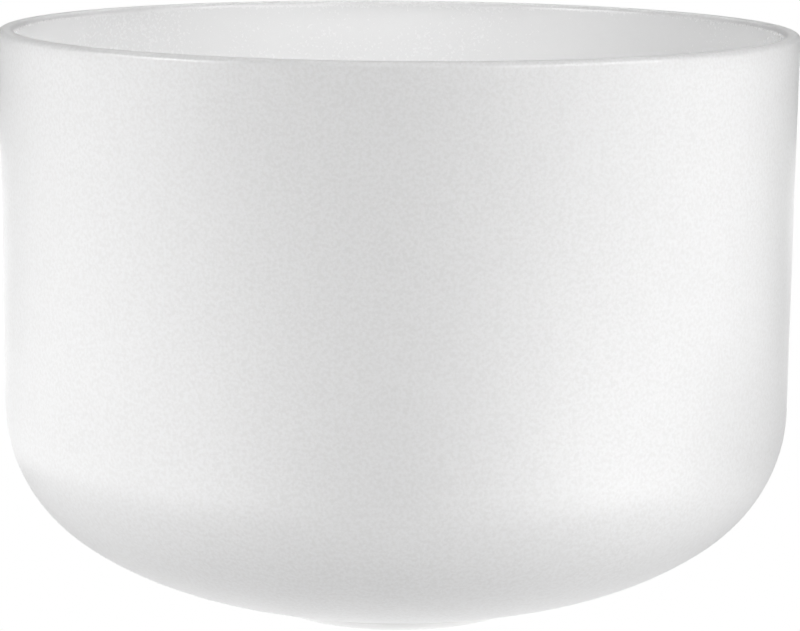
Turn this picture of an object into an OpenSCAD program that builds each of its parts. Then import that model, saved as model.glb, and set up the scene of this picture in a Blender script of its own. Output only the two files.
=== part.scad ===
// Crystal singing bowl: a frosted fused-quartz bowl, open at the top and domed underneath,
// that stands loose on a soft ring of round section.
// Millimetres, +Z up. The origin is on the table, on the axis that bowl and ring share.

/* [Bowl] */
// Diameter across the outside of the rim
bowl_d = 305; // [230:1:400]
// Height of the bowl itself, from its lowest point to the top of the rim
bowl_h = 222.5; // [130:0.5:320]
// Thickness of the quartz, the same all over
wall_t = 6; // [4:0.25:10]
// Radius of the two rounded edges of the rim
rim_edge_r = 2; // [0.5:0.1:2.5]

/* [Rounded bottom] */
// Outside radius of the shallow dome that the bowl stands on
dome_r = 335.5; // [260:0.5:600]
// Outside radius of the haunch, between the dome and the heel
haunch_r = 110.5; // [70:0.5:160]
// Outside radius of the heel, where the bottom turns up into the wall
heel_r = 58; // [30:0.5:80]
// Steepness of the bottom where the haunch becomes the heel, in percent
heel_grade = 75; // [50:1:120]

/* [Rest ring] */
// Outside diameter of the ring
ring_d = 113; // [60:1:125]
// Thickness of the ring's round section
ring_t = 6; // [4.5:0.25:12]
// Width of the flat that the weight presses under the ring
ring_flat_w = 1.6; // [0.8:0.1:2.4]
// Clearance between the ring and the bowl
seat_gap = 0.25; // [0.1:0.05:0.5]

/* [Hidden] */
$fn = 180;

// A slope is the angle of a surface in the section: 0 faces straight down, 90 outwards
// and 180 up. Heights in the bowl's section count from the lowest point of its dome.
function facing(slope) = [sin(slope), -cos(slope)];

// The dome, haunch and heel are arcs, each tangent to the next, and the heel is tangent
// to the upright wall. The dome ends at the slope that closes the outline on the wall.
heel_slope = atan(heel_grade / 100);
dome_span = bowl_d / 2 - heel_r - (haunch_r - heel_r) * sin(heel_slope);
dome_slope = asin(dome_span / (dome_r - haunch_r));

dome_c = [0, dome_r];
haunch_c = dome_c + (dome_r - haunch_r) * facing(dome_slope);
heel_c = haunch_c + (haunch_r - heel_r) * facing(heel_slope);

// How far each tighter arc runs on inside the one before it, so that the slices overlap
lap = 2;

// Rim: the centres of its two rounded edges
edge_r = min(rim_edge_r, 0.45 * wall_t);
rim_z = bowl_h - edge_r;
rim_outer_x = bowl_d / 2 - edge_r;
rim_inner_x = bowl_d / 2 - wall_t + edge_r;

// Ring: the centre of its section, above the flat that it stands on
ring_x = (ring_d - ring_t) / 2;
ring_z = sqrt(pow(ring_t / 2, 2) - pow(ring_flat_w / 2, 2));

// The bowl comes down until the arc that is above the ring is seat_gap away from it.
// seat_z is where the ring's centre then lies in the bowl's section.
seat_r = ring_t / 2 + seat_gap;
function seat_slope(centre, r) = asin((ring_x - centre.x) / (r + seat_r));
function seat_height(centre, r) = centre.y - (r + seat_r) * cos(seat_slope(centre, r));
seat_z = seat_slope(dome_c, dome_r) <= dome_slope ? seat_height(dome_c, dome_r)
    : seat_slope(haunch_c, haunch_r) <= heel_slope ? seat_height(haunch_c, haunch_r)
    : seat_height(heel_c, heel_r);
bowl_z = ring_z - seat_z;

// Slice of a disc, out from its centre, between two slopes
module slice(centre, r, from, to) {
    translate(centre)
        intersection() {
            circle(r);
            polygon([[0, 0], 2 * r * facing(from), 2 * r * facing(to)]);
        }
}

// Half section of everything that lies deeper than inset inside the bowl's outside,
// from the bottom up to top
module filled_section(inset, top) {
    intersection() {
        union() {
            slice(dome_c, dome_r - inset, 0, dome_slope);
            slice(haunch_c, haunch_r - inset, dome_slope - lap, heel_slope);
            slice(heel_c, heel_r - inset, heel_slope - lap, 90 + lap);
            translate([0, heel_c.y]) square([bowl_d / 2 - inset, top - heel_c.y]);
        }
        square([bowl_d, top]);
    }
}

// Half section of the rim: a flat with a rounded edge on each side
module rim_section() {
    slice([rim_outer_x, rim_z], edge_r, 90, 180);
    slice([rim_inner_x, rim_z], edge_r, 180, 270);
    translate([rim_inner_x, rim_z - edge_r]) square([rim_outer_x - rim_inner_x, 2 * edge_r]);
}

module bowl() {
    color("#f3f4f4")
        translate([0, 0, bowl_z])
            rotate_extrude() {
                difference() {
                    filled_section(0, rim_z);
                    filled_section(wall_t, bowl_h);
                }
                rim_section();
            }
}

module rest_ring() {
    color("#fbfbf9")
        rotate_extrude()
            intersection() {
                translate([ring_x, ring_z]) circle(ring_t / 2);
                translate([ring_x - ring_t, 0]) square([2 * ring_t, 2 * ring_t]);
            }
}

bowl();
rest_ring();
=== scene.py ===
import math

import bpy
import numpy as np
from mathutils import Matrix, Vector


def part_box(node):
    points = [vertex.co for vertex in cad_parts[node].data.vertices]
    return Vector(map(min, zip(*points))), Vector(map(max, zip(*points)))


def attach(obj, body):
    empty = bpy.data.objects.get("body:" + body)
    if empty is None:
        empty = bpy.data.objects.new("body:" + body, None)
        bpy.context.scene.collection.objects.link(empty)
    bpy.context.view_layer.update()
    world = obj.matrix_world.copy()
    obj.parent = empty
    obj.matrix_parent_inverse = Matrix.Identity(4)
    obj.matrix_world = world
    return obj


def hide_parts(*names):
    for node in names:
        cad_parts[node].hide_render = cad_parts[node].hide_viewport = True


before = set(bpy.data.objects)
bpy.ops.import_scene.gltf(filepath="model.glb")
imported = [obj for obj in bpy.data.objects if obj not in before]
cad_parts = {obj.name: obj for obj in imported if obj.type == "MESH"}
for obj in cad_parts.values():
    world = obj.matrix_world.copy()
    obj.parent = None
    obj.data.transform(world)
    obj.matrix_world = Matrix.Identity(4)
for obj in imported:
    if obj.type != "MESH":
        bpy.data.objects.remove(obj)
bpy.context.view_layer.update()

bowlLow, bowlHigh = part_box("bowl")
ringLow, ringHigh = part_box("rest_ring")
rimZ = bowlHigh.z
print("frame loaded, rim at", round(rimZ, 4), "m")

cameraSet = {
    "distance": 0.9949,     # from the bowl's axis, along -Y
    "aboveRim": 0.0757,
    "lens": 116.12,         # mm
    "sensor": 36.0,         # mm across
    "tiltDown": 10.738,     # degrees
    "turnRight": 0.065,
    "roll": 0.451,          # the whole view leans a little to the left
    "nearest": 0.02,
    "farthest": 40.0,
}


def makeCamera(opts):
    data = bpy.data.cameras.new("studioCamera")
    data.sensor_width = opts["sensor"]
    data.lens = opts["lens"]
    data.clip_start, data.clip_end = opts["nearest"], opts["farthest"]
    camera = bpy.data.objects.new("studioCamera", data)
    bpy.context.scene.collection.objects.link(camera)
    turn = Matrix.Rotation(math.radians(-opts["turnRight"]), 4, "Z")
    tilt = Matrix.Rotation(math.radians(90.0 - opts["tiltDown"]), 4, "X")
    roll = Matrix.Rotation(math.radians(opts["roll"]), 4, "Z")
    place = Matrix.Translation((0.0, -opts["distance"], rimZ + opts["aboveRim"]))
    camera.matrix_world = place @ turn @ tilt @ roll
    bpy.context.scene.camera = camera


makeCamera(cameraSet)
bpy.context.scene.view_settings.view_transform = "Standard"


class Wire:
    # one output socket; + - * / on values add Math nodes
    def __init__(self, tree, socket):
        self.tree = tree
        self.socket = socket

    def maths(self, operation, *others, flip=False):
        terms = [self, *others]
        if flip:
            terms.reverse()
        return self.tree.node("ShaderNodeMath", {"operation": operation}, dict(enumerate(terms)))

    def __add__(self, other):
        return self.maths("ADD", other)

    def __sub__(self, other):
        return self.maths("SUBTRACT", other)

    def __rsub__(self, other):
        return self.maths("SUBTRACT", other, flip=True)

    def __mul__(self, other):
        return self.maths("MULTIPLY", other)

    __radd__ = __add__
    __rmul__ = __mul__

    def __truediv__(self, other):
        return self.maths("DIVIDE", other)

    def __rtruediv__(self, other):
        return self.maths("DIVIDE", other, flip=True)

    def __abs__(self):
        return self.maths("ABSOLUTE")

    def __getitem__(self, name):
        return Wire(self.tree, self.socket.node.outputs[name])


class Tree:
    # the node tree of a material or of the world
    def __init__(self, owner):
        owner.use_nodes = True
        self.nodes = owner.node_tree.nodes
        self.links = owner.node_tree.links
        self.nodes.clear()

    def node(self, kind, settings=None, inputs=None, output=0):
        made = self.nodes.new(kind)
        for name, value in (settings or {}).items():
            if name == "stops":
                self.setStops(made.color_ramp, value)
            else:
                setattr(made, name, value)
        for name, value in (inputs or {}).items():
            socket = made.inputs[name]
            if isinstance(value, Wire):
                self.links.new(value.socket, socket)
            else:
                socket.default_value = value
        return Wire(self, made.outputs[output]) if len(made.outputs) else made

    def setStops(self, ramp, stops):
        while len(ramp.elements) < len(stops):
            ramp.elements.new(1.0)
        for element, (place, shade) in zip(ramp.elements, stops):
            element.position = place
            element.color = (*shade, 1.0)

    def place(self):
        return self.node("ShaderNodeTexCoord", output="Object")

    def noise(self, place, size, detail=2.0, roughness=0.5):
        # size is the width of one blot in metres
        return self.node("ShaderNodeTexNoise", None, {
            "Vector": place, "Scale": 1.0 / size, "Detail": detail, "Roughness": roughness})

    def cells(self, place, size):
        return self.node("ShaderNodeTexVoronoi", None, {"Vector": place, "Scale": 1.0 / size})

    def smooth(self, value, low, high, outLow=0.0, outHigh=1.0):
        return self.node("ShaderNodeMapRange", {"interpolation_type": "SMOOTHSTEP"},
                         {0: value, 1: low, 2: high, 3: outLow, 4: outHigh})

    def mixColour(self, factor, first, second, blend="MIX"):
        return self.node("ShaderNodeMix", {"data_type": "RGBA", "blend_type": blend},
                         {0: factor, 6: first, 7: second}, output=2)

    def bump(self, height, distance, strength, under=None):
        inputs = {"Height": height, "Distance": distance, "Strength": strength}
        if under is not None:
            inputs["Normal"] = under
        return self.node("ShaderNodeBump", None, inputs)


# the floor and the world look plain white to the camera; everything else meets the
# floor's own glow, which differs with the distance from the bowl and with the side
floorSet = {
    "half": 1.6,              # from the bowl to the edge; the white world goes on beyond
    "cells": 32,
    "shown": 1.0,             # what the camera sees
    "brightest": 5.0,         # no glow below is above this
    # glow right under the bowl, and in the dimmer band that its wall shades
    "middle": 1.0,
    "shaded": 0.6,
    # glow close to the bowl and further out, for each eighth of a turn: behind, back left,
    # left, front left, front, front right, right, back right
    "near": (4.5, 1.0, 1.5, 2.5, 0.0, 3.0, 0.0, 0.5),
    "far": (4.0, 0.5, 1.5, 1.0, 0.0, 1.0, 1.5, 0.0),
    # distances over which one glow gives way to the next
    "middleEdge": (0.09, 0.15),
    "nearEdge": (0.22, 0.3),
    "farEdge": (0.5, 0.7),
    "tableEdge": (1.4, 1.6),
}

lampSet = {
    # name: azimuth, low edge, high edge, width, glow; a lamp stands lampDistance away
    "stripLeft": (-90.0, 0.0, 0.4, 2.1, 0.6),
    "keyLeft": (-80.0, 0.4, 1.0, 0.4, 4.0),
    "sideLeft": (-65.0, 0.4, 1.0, 0.3, 6.0),
    "slimLeft": (-55.0, 0.4, 1.0, 0.3, 5.0),
    "stripRight": (80.0, 0.0, 0.4, 2.1, 0.5),
    "softRight": (58.0, 0.4, 1.0, 1.2, 3.5),
    "slimRight": (30.0, 0.4, 1.0, 0.26, 6.0),
    "highRight": (70.0, 1.0, 1.9, 0.8, 2.0),
    "highFront": (0.0, 1.0, 1.9, 1.0, 1.5),
    "highBackLeft": (-167.0, 1.0, 1.9, 0.75, 1.5),
    "highBackRight": (167.0, 1.0, 1.9, 0.75, 1.5),
}
lampDistance = 1.5
leanFrom = 1.0                # a lamp that starts at least this high leans down to the bowl
topSet = {"height": 2.0, "width": 1.4, "glow": 1.0}


def around(t, share, glows, brightest):
    # the glow for a share of a turn from behind, through equal steps back to the first
    closed = [*glows, glows[0]]
    greys = [(step / len(glows), (glow / brightest,) * 3) for step, glow in enumerate(closed)]
    ramp = t.node("ShaderNodeValToRGB", {"stops": greys}, {"Fac": share})
    return ramp * brightest


def makeFloor(opts):
    # a flat square of equal cells at z = 0, which glows
    steps = opts["cells"] + 1
    axis = np.linspace(-opts["half"], opts["half"], steps)
    x, y = np.meshgrid(axis, axis, indexing="ij")
    points = np.stack([x, y, 0.0 * x], axis=2).reshape(-1, 3)
    corner = (np.arange(steps - 1)[:, None] * steps + np.arange(steps - 1)).reshape(-1, 1)
    mesh = bpy.data.meshes.new("floor")
    mesh.from_pydata(points.tolist(), [], (corner + np.array([0, steps, steps + 1, 1])).tolist())
    floor = bpy.data.objects.new("floor", mesh)
    bpy.context.scene.collection.objects.link(floor)
    material = bpy.data.materials.new("paleFloor")
    t = Tree(material)
    place = t.place()
    axes = t.node("ShaderNodeSeparateXYZ", None, {0: place})
    reach = t.node("ShaderNodeVectorMath", {"operation": "LENGTH"}, {0: place}, output="Value")
    share = axes["X"].maths("ARCTAN2", axes["Y"] * -1.0) / (2.0 * math.pi) + 0.5
    near = around(t, share, opts["near"], opts["brightest"])
    far = around(t, share, opts["far"], opts["brightest"])
    middle = t.smooth(reach, *opts["middleEdge"], opts["middle"], opts["shaded"])
    nearShare = t.smooth(reach, *opts["nearEdge"])
    farShare = t.smooth(reach, *opts["farEdge"])
    glow = (middle * (1.0 - nearShare) + near * nearShare) * (1.0 - farShare) + far * farShare
    glow = glow * t.smooth(reach, *opts["tableEdge"], 1.0, 0.0)
    seen = t.node("ShaderNodeLightPath")["Is Camera Ray"]
    strength = seen * opts["shown"] + (1.0 - seen) * glow
    surface = t.node("ShaderNodeEmission", None, {"Color": (1, 1, 1, 1), "Strength": strength})
    t.node("ShaderNodeOutputMaterial", None, {"Surface": surface})
    mesh.materials.append(material)


def makeWorld(opts):
    # white for the camera and no light of its own
    world = bpy.data.worlds.new("studio")
    bpy.context.scene.world = world
    t = Tree(world)
    seen = t.node("ShaderNodeLightPath")["Is Camera Ray"]
    sky = t.node("ShaderNodeBackground", None, {"Color": (1, 1, 1, 1), "Strength": seen * opts["shown"]})
    t.node("ShaderNodeOutputWorld", None, {"Surface": sky})


def addLamp(name, place, width, height, glow):
    # a flat soft panel that glows along its own -Z and that the camera doesn't see
    data = bpy.data.lights.new(name, "AREA")
    data.shape = "RECTANGLE"
    data.size, data.size_y = width, height
    data.energy = math.pi * width * height * glow
    lamp = bpy.data.objects.new(name, data)
    bpy.context.scene.collection.objects.link(lamp)
    lamp.matrix_world = place
    lamp.visible_camera = False


def makeLamp(name, azimuth, low, high, width, glow):
    # azimuth 0 is the camera's side and 90 the right
    middle = 0.5 * (low + high)
    lean = math.atan2(middle - 0.5 * rimZ, lampDistance) if low >= leanFrom else 0.0
    turn = Matrix.Rotation(math.radians(azimuth), 4, "Z")
    stand = Matrix.Translation((0.0, -lampDistance, middle))
    place = turn @ stand @ Matrix.Rotation(0.5 * math.pi - lean, 4, "X")
    addLamp(name, place, width, high - low, glow)


def makeTop(opts):
    # a square panel over the middle, facing down
    addLamp("top", Matrix.Translation((0.0, 0.0, opts["height"])), opts["width"], opts["width"],
            opts["glow"])


makeFloor(floorSet)
makeWorld(floorSet)
for name, values in lampSet.items():
    makeLamp(name, *values)
makeTop(topSet)
print("studio ready,", len(lampSet) + 1, "lamps")


def arc(centre, radius, start, stop, pitch, fewest=6):
    # centre plus radius times (sine, -cosine) of the slope, in equal steps of slope and
    # without the last point
    count = max(fewest, int(abs(stop - start) * radius / pitch))
    slope = np.linspace(start, stop, count, endpoint=False)
    return np.stack([centre[0] + radius * np.sin(slope), centre[1] - radius * np.cos(slope)], axis=1)


def line(first, last, pitch, fewest=2):
    # straight from first towards last, in equal steps and without the last point
    count = max(fewest, int(math.dist(first, last) / pitch))
    share = np.linspace(0.0, 1.0, count, endpoint=False)[:, None]
    return np.array(first) * (1.0 - share) + np.array(last) * share


def revolve(radius, height, angle):
    # each point of a section carried round the axis: x = r cos a, y = r sin a, z = z.
    # radius and height are rows by 1 or rows by angles
    x = radius * np.cos(angle)
    y = radius * np.sin(angle)
    return np.stack([x, y, np.broadcast_to(height, x.shape)], axis=2)


def meshFromGrid(name, grid, poles=None):
    # grid is rows by columns, and its columns close on themselves. With poles the first
    # and last rows end in a fan round one point, otherwise the rows close as well
    rows, columns = grid.shape[:2]
    points = grid.reshape(-1, 3)
    row, column = np.meshgrid(np.arange(rows), np.arange(columns), indexing="ij")
    after = (column + 1) % columns
    below = (row + 1) % rows
    quads = np.stack([row * columns + column, row * columns + after,
                      below * columns + after, below * columns + column], axis=2)
    last = rows if poles is None else rows - 1
    faces = quads[:last].reshape(-1, 4).tolist()
    if poles is not None:
        base = (rows - 1) * columns
        first, final = len(points), len(points) + 1
        points = np.concatenate([points, np.array(poles)])
        one, two = column[0], after[0]
        faces += np.stack([np.full(columns, first), two, one], axis=1).tolist()
        faces += np.stack([base + one, base + two, np.full(columns, final)], axis=1).tolist()
    mesh = bpy.data.meshes.new(name)
    mesh.from_pydata(points.tolist(), [], faces)
    mesh.polygons.foreach_set("use_smooth", np.ones(len(faces), bool))
    mesh.update()
    piece = bpy.data.objects.new(name, mesh)
    bpy.context.scene.collection.objects.link(piece)
    return piece


def addMark(piece, name, values):
    # one number for each point, which the material reads by its name
    mark = piece.data.attributes.new(name, "FLOAT", "POINT")
    mark.data.foreach_set("value", np.ascontiguousarray(values, dtype=np.float32).ravel())


bowlSet = {
    "wall": 0.006,
    "domeRadius": 0.3355,
    "haunchRadius": 0.1105,
    "heelRadius": 0.058,
    "heelGrade": 0.75,        # rise over run where the haunch becomes the heel
    "rimEdge": 0.002,
    "around": 384,            # faces round the bowl
    "pitch": 0.0034,          # length of a face along the section
    "rimPitch": 0.0003,
    "uneven": 0.00012,        # how far the ground outside dips below a true round
    # lobes round the bowl, how far each leans over the height, where it starts, its share
    "waves": ((3.0, 4.0, 0.0, 1.0), (5.0, -7.0, 1.3, 0.6), (8.0, 11.0, 0.4, 0.4)),
    "levelUpTo": 0.02,        # the dome stays true below this height, over the ring
}


def bowlSection(opts, outerRadius, bottom, top):
    # half section from the lowest point of the dome, out and up the outside, over the
    # rim and down the inside to the middle: three tangent arcs, the wall, the rim's two
    # rounded edges, the wall again and the same three arcs less the wall's thickness
    dome, haunch, heel = opts["domeRadius"], opts["haunchRadius"], opts["heelRadius"]
    wall, edge, pitch, fine = opts["wall"], opts["rimEdge"], opts["pitch"], opts["rimPitch"]
    heelSlope = math.atan(opts["heelGrade"])
    domeSpan = outerRadius - heel - (haunch - heel) * math.sin(heelSlope)
    domeSlope = math.asin(domeSpan / (dome - haunch))
    domeC = np.array([0.0, bottom + dome])
    haunchC = domeC + (dome - haunch) * np.array([math.sin(domeSlope), -math.cos(domeSlope)])
    heelC = haunchC + (haunch - heel) * np.array([math.sin(heelSlope), -math.cos(heelSlope)])
    upright, up, inward = 0.5 * math.pi, math.pi, 1.5 * math.pi
    outside = [
        arc(domeC, dome, 0.0, domeSlope, pitch),
        arc(haunchC, haunch, domeSlope, heelSlope, pitch),
        arc(heelC, heel, heelSlope, upright, pitch),
        line((outerRadius, heelC[1]), (outerRadius, top - edge), pitch),
        arc((outerRadius - edge, top - edge), edge, upright, up, fine),
        line((outerRadius - edge, top), (outerRadius - 0.5 * wall, top), fine),
    ]
    inside = [
        line((outerRadius - 0.5 * wall, top), (outerRadius - wall + edge, top), fine),
        arc((outerRadius - wall + edge, top - edge), edge, up, inward, fine),
        line((outerRadius - wall, top - edge), (outerRadius - wall, heelC[1]), pitch),
        arc(heelC, heel - wall, upright, heelSlope, pitch),
        arc(haunchC, haunch - wall, heelSlope, domeSlope, pitch),
        arc(domeC, dome - wall, domeSlope, 0.0, pitch),
    ]
    outer, inner = np.concatenate(outside), np.concatenate(inside)
    return np.concatenate([outer, inner])[1:], len(outer) - 1


def makeBowl(opts):
    section, crown = bowlSection(opts, bowlHigh.x, bowlLow.z, rimZ)
    radius, height = section[:, :1], section[:, 1:]
    angle = np.linspace(0.0, 2.0 * np.pi, opts["around"], endpoint=False)
    # way is the distance along the section from the rim's middle, below zero outside
    way = np.concatenate([[0.0], np.cumsum(np.hypot(*np.diff(section, axis=0).T))])[:, None]
    way = way - way[crown]
    # hand grinding: a sum of share times sin(lobes a + lean h + start), moved to 0 to 1, so
    # that the wall is never outside the true round, and fading over the ring and the rim
    rise = height / rimZ
    waves = sum(share * np.sin(lobes * angle + lean * rise + start)
                for lobes, lean, start, share in opts["waves"])
    dips = 0.5 + 0.5 * waves / sum(wave[3] for wave in opts["waves"])
    fade = np.clip((height - opts["levelUpTo"]) / opts["levelUpTo"], 0.0, 1.0)
    fade = fade * np.clip((np.abs(way) - opts["wall"]) / opts["wall"], 0.0, 1.0)
    shrink = opts["uneven"] * dips * fade * np.where(way < 0.0, -1.0, 1.0)
    grid = revolve(radius + shrink, height, angle)
    poles = [(0.0, 0.0, bowlLow.z), (0.0, 0.0, bowlLow.z + opts["wall"])]
    piece = meshFromGrid("quartzBowl", grid, poles)
    marks = np.broadcast_to(way, grid.shape[:2]).ravel()
    addMark(piece, "fromRim", np.concatenate([marks, [way[0, 0], way[-1, 0]]]))
    print("bowl", len(piece.data.polygons), "faces")
    return piece


quartzSet = {
    "white": (0.975, 0.975, 0.975, 1.0),
    "cloud": (0.94, 0.942, 0.945, 1.0),
    "dust": (0.84, 0.835, 0.83, 1.0),
    # distances from the rim's middle along the wall
    "glazeStart": (0.001, 0.006),        # the smooth glaze inside comes in
    "groundEdge": (0.001, 0.0022),       # the ground flat ends
    "chipLine": 0.0019,
    "chipReach": 0.0009,
    # width of a blot, and the noise values between which it goes from none to full
    "cloudSize": 0.07,
    "cloudEdge": (0.35, 0.7),
    "grainSize": 0.0013,
    "sandEdge": (0.3, 0.7),
    "pitSize": 0.0022,
    "pitEdge": (0.04, 0.3),
    "patchSize": 0.012,                  # pits come in patches
    "patchEdge": (0.5, 0.68),
    "chipSize": 0.0035,
    "chipEdge": (0.5, 0.62),
    "waveSize": 0.03,
    # share of the second colour
    "cloudTint": 0.8,
    "sandTint": 0.75,
    "pitTint": 0.16,
    "groundTint": 0.1,
    "chipTint": 0.15,
    # relief: depth and strength
    "grainRelief": (0.00006, 0.7),
    "pitRelief": (0.00005, 0.5),
    "waveRelief": (0.0004, 0.25),
    # roughness, and how much each blot moves it
    "roughOutside": 0.34,
    "roughInside": 0.26,
    "roughRim": 0.42,
    "roughGrain": 0.12,
    "roughCloud": 0.1,
    "roughChip": 0.1,
    "glazeSmooth": 0.9,                  # how much of the sand the glaze fills
    "glazeCoat": 0.25,
    "glazeRough": 0.18,
    "ior": 1.8,
    "lightDepth": 0.02,                  # how far light wanders in the quartz
}


def frostedQuartz(opts):
    material = bpy.data.materials.new("frostedQuartz")
    t = Tree(material)
    place = t.place()
    way = t.node("ShaderNodeAttribute", {"attribute_name": "fromRim"}, output="Fac")
    inside = t.smooth(way, *opts["glazeStart"])
    ground = t.smooth(abs(way), *opts["groundEdge"], 1.0, 0.0)
    edge = t.smooth(abs(abs(way) - opts["chipLine"]), 0.0, opts["chipReach"], 1.0, 0.0)

    cloud = t.noise(place, opts["cloudSize"], 3.0)
    grain = t.noise(place, opts["grainSize"], 2.0, 0.65)
    pits = t.smooth(t.cells(place, opts["pitSize"]), *opts["pitEdge"], 1.0, 0.0)
    patches = t.smooth(t.noise(place, opts["patchSize"], 2.0), *opts["patchEdge"])
    specks = pits * patches
    chips = edge * t.smooth(t.noise(place, opts["chipSize"], 3.0, 0.7), *opts["chipEdge"])
    sand = t.smooth(grain, *opts["sandEdge"])
    coarse = 1.0 - opts["glazeSmooth"] * inside

    milk = t.smooth(cloud, *opts["cloudEdge"]) * opts["cloudTint"]
    milky = t.mixColour(milk, opts["white"], opts["cloud"])
    sanded = t.mixColour(sand * coarse * opts["sandTint"], milky, opts["dust"])
    pitted = t.mixColour(specks * (1.0 - inside) * opts["pitTint"], sanded, opts["dust"])
    colour = t.mixColour(ground * opts["groundTint"] + chips * opts["chipTint"], pitted, opts["dust"])

    rough = (inside * (opts["roughInside"] - opts["roughOutside"]) + opts["roughOutside"]
             + (grain - 0.5) * opts["roughGrain"] + (cloud - 0.5) * opts["roughCloud"])
    rough = rough * (1.0 - ground) + opts["roughRim"] * ground + chips * opts["roughChip"]

    waves = t.bump(t.noise(place, opts["waveSize"], 1.0), *opts["waveRelief"])
    pitting = t.bump((specks * (1.0 - inside) + chips) * -1.0, *opts["pitRelief"], waves)
    grit = t.bump(grain * coarse, *opts["grainRelief"], pitting)
    skin = t.node("ShaderNodeBsdfPrincipled", None, {
        "Base Color": colour,
        "Roughness": rough,
        "IOR": opts["ior"],
        "Subsurface Weight": 1.0,
        "Subsurface Radius": (1.0, 1.0, 1.0),
        "Subsurface Scale": opts["lightDepth"],
        "Coat Weight": inside * opts["glazeCoat"],
        "Coat Roughness": opts["glazeRough"],
        "Normal": grit,
    })
    t.node("ShaderNodeOutputMaterial", None, {"Surface": skin})
    return material


bowl = makeBowl(bowlSet)
bowl.data.materials.append(frostedQuartz(quartzSet))
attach(bowl, "bowl")
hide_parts("bowl")


ringSet = {
    "thickness": 0.006,
    "flat": 0.0016,           # width pressed flat on the table
    "crownFlat": 0.0009,      # width pressed flat by the dome
    "slim": 0.00008,          # the round lies this far inside the seam line
    "seamWidth": 0.07,        # radians round the section
    "lumps": 0.00004,
    # lobes round the ring, turns of each lobe round the section, where it starts
    "waves": ((6.0, 2.0, 0.0), (11.0, -1.0, 0.7)),
    "around": 360,
    "section": 56,
}


def makeRing(opts):
    # a round section carried round the axis: x = (R + s cos b) cos a, y the same with
    # sin a, z = c + s sin b, with s a little larger at the two mould seams, b = 0 and pi
    half = 0.5 * opts["thickness"]
    centreR = ringHigh.x - half
    centreZ = math.sqrt(half ** 2 - (0.5 * opts["flat"]) ** 2)
    angle = np.linspace(0.0, 2.0 * np.pi, opts["around"], endpoint=False)
    turn = np.linspace(0.0, 2.0 * np.pi, opts["section"], endpoint=False)[:, None]
    seam = np.exp(-(np.sin(turn) / opts["seamWidth"]) ** 2)
    lumps = sum(0.5 + 0.5 * np.sin(lobes * angle + twist * turn + start)
                for lobes, twist, start in opts["waves"]) / len(opts["waves"])
    reach = half - opts["slim"] * (1.0 - seam) - opts["lumps"] * lumps * (1.0 - seam)
    across, rise = reach * np.cos(turn), reach * np.sin(turn)
    # the crown is pressed flat square to the line from the section to the dome's centre
    tilt = math.asin(centreR / (bowlSet["domeRadius"] + half))
    out = np.array([-math.sin(tilt), math.cos(tilt)])
    limit = math.sqrt((half - opts["slim"]) ** 2 - (0.5 * opts["crownFlat"]) ** 2)
    over = np.maximum(across * out[0] + rise * out[1] - limit, 0.0)
    across, rise = across - over * out[0], rise - over * out[1]
    height = np.maximum(centreZ + rise, ringLow.z)
    grid = revolve(centreR + across, height, angle)
    piece = meshFromGrid("siliconeRing", grid)
    addMark(piece, "seam", np.broadcast_to(seam, grid.shape[:2]))
    print("ring", len(piece.data.polygons), "faces")
    return piece


siliconeSet = {
    "white": (0.95, 0.95, 0.94, 1.0),
    "worn": (0.86, 0.855, 0.84, 1.0),
    "tintSize": 0.018,
    "tintEdge": (0.4, 0.7),
    "skinSize": 0.0006,
    "skinRelief": (0.00003, 0.5),   # depth and strength
    "dustEdge": (0.4, 0.65),
    "dustHeight": 0.0012,     # the underside picks up dust below this height
    "polish": (0.0006, 0.0001),   # below the top, where the dome's touch has smoothed it
    "tintShare": 0.25,
    "dustShare": 0.6,
    "seamShare": 0.3,
    # roughness, and how much each mark moves it
    "rough": 0.5,
    "roughSkin": 0.2,
    "roughTint": 0.15,
    "roughPolish": -0.15,
    "roughDust": 0.1,
    "ior": 1.42,
    "lightDepth": 0.003,
}


def whiteSilicone(opts):
    material = bpy.data.materials.new("whiteSilicone")
    t = Tree(material)
    place = t.place()
    height = t.node("ShaderNodeSeparateXYZ", None, {0: place})["Z"]
    seam = t.node("ShaderNodeAttribute", {"attribute_name": "seam"}, output="Fac")
    tint = t.noise(place, opts["tintSize"], 3.0)
    skin = t.noise(place, opts["skinSize"], 2.0, 0.6)
    low = t.smooth(height, 0.0, opts["dustHeight"], 1.0, 0.0)
    crown = t.smooth(height, *(ringHigh.z - drop for drop in opts["polish"]))
    dust = low * t.smooth(skin, *opts["dustEdge"])
    patches = t.smooth(tint, *opts["tintEdge"]) * opts["tintShare"]
    tinted = t.mixColour(patches, opts["white"], opts["worn"])
    colour = t.mixColour(dust * opts["dustShare"] + seam * opts["seamShare"], tinted, opts["worn"])
    rough = (opts["rough"] + (skin - 0.5) * opts["roughSkin"] + (tint - 0.5) * opts["roughTint"]
             + crown * opts["roughPolish"] + dust * opts["roughDust"])
    surface = t.node("ShaderNodeBsdfPrincipled", None, {
        "Base Color": colour,
        "Roughness": rough,
        "IOR": opts["ior"],
        "Subsurface Weight": 0.5,
        "Subsurface Radius": (1.0, 1.0, 1.0),
        "Subsurface Scale": opts["lightDepth"],
        "Normal": t.bump(skin, *opts["skinRelief"]),
    })
    t.node("ShaderNodeOutputMaterial", None, {"Surface": surface})
    return material


ring = makeRing(ringSet)
ring.data.materials.append(whiteSilicone(siliconeSet))
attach(ring, "ring")
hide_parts("rest_ring")
